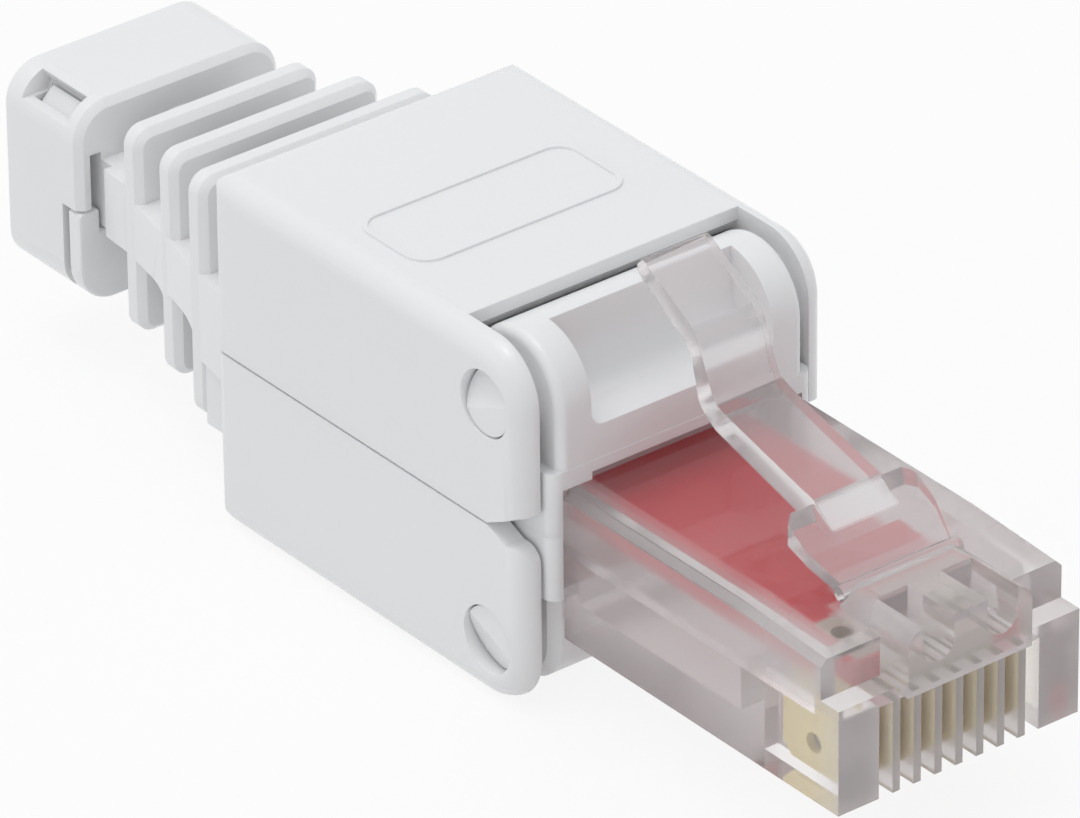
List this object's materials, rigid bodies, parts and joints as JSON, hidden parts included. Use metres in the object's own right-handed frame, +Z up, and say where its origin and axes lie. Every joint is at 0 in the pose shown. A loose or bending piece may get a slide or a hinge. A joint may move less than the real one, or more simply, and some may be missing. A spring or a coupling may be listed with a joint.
{
  "type": "field termination ethernet plug",
  "caption": "Field termination ethernet plug with a clear contact nose, a press-down latch, two hinged wire lids and a ribbed cable tail.",
  "frame": {"origin": "centre of the bounding box in X and Y, at the underside of the lower lid", "axes": "+X is the plugging direction, along the cable; +Z is up, towards the latch"},
  "size_m": [0.054, 0.015, 0.0182],
  "materials": {
    "clear_plastic": "clear, slightly smoky polycarbonate",
    "white_plastic": "white, semi-gloss moulding",
    "board": "red solder mask",
    "gold_contact": "gold plated",
    "tinned_fork": "tinned"
  },
  "bodies": {
    "core": {"plug_housing": "clear_plastic", "circuit_board": "board", "contact_1": "gold_contact", "contact_2": "gold_contact", "contact_3": "gold_contact", "contact_4": "gold_contact", "contact_5": "gold_contact", "contact_6": "gold_contact", "contact_7": "gold_contact", "contact_8": "gold_contact", "upper_fork_1": "tinned_fork", "upper_fork_2": "tinned_fork", "upper_fork_3": "tinned_fork", "upper_fork_4": "tinned_fork", "lower_fork_1": "tinned_fork", "lower_fork_2": "tinned_fork", "lower_fork_3": "tinned_fork", "lower_fork_4": "tinned_fork", "upper_carrier": "white_plastic", "lower_carrier": "white_plastic"},
    "upper_lid": {"upper_lid": "white_plastic"},
    "lower_lid": {"lower_lid": "white_plastic"},
    "latch": {"latch_tab": "clear_plastic"},
    "clamp": {"cable_clamp": "white_plastic"}
  },
  "joints": [
    {"name": "upper_lid_hinge", "type": "hinge", "parent": "core", "child": "upper_lid", "pos_m": [0.0074, 0, 0.01305], "axis": [0, 1, 0], "range_deg": [0, 50]},
    {"name": "lower_lid_hinge", "type": "hinge", "parent": "core", "child": "lower_lid", "pos_m": [0.0074, 0, 0.00265], "axis": [0, -1, 0], "range_deg": [0, 50]},
    {"name": "latch_flex", "type": "hinge", "parent": "core", "child": "latch", "pos_m": [0.02285, 0, 0.0102], "axis": [0, -1, 0], "range_deg": [0, 14], "stiffness_Nm_per_rad": 0.05},
    {"name": "clamp_slide", "type": "slide", "parent": "upper_lid", "child": "clamp", "axis": [0, 0, -1], "range_m": [0, 0.003]}
  ]
}
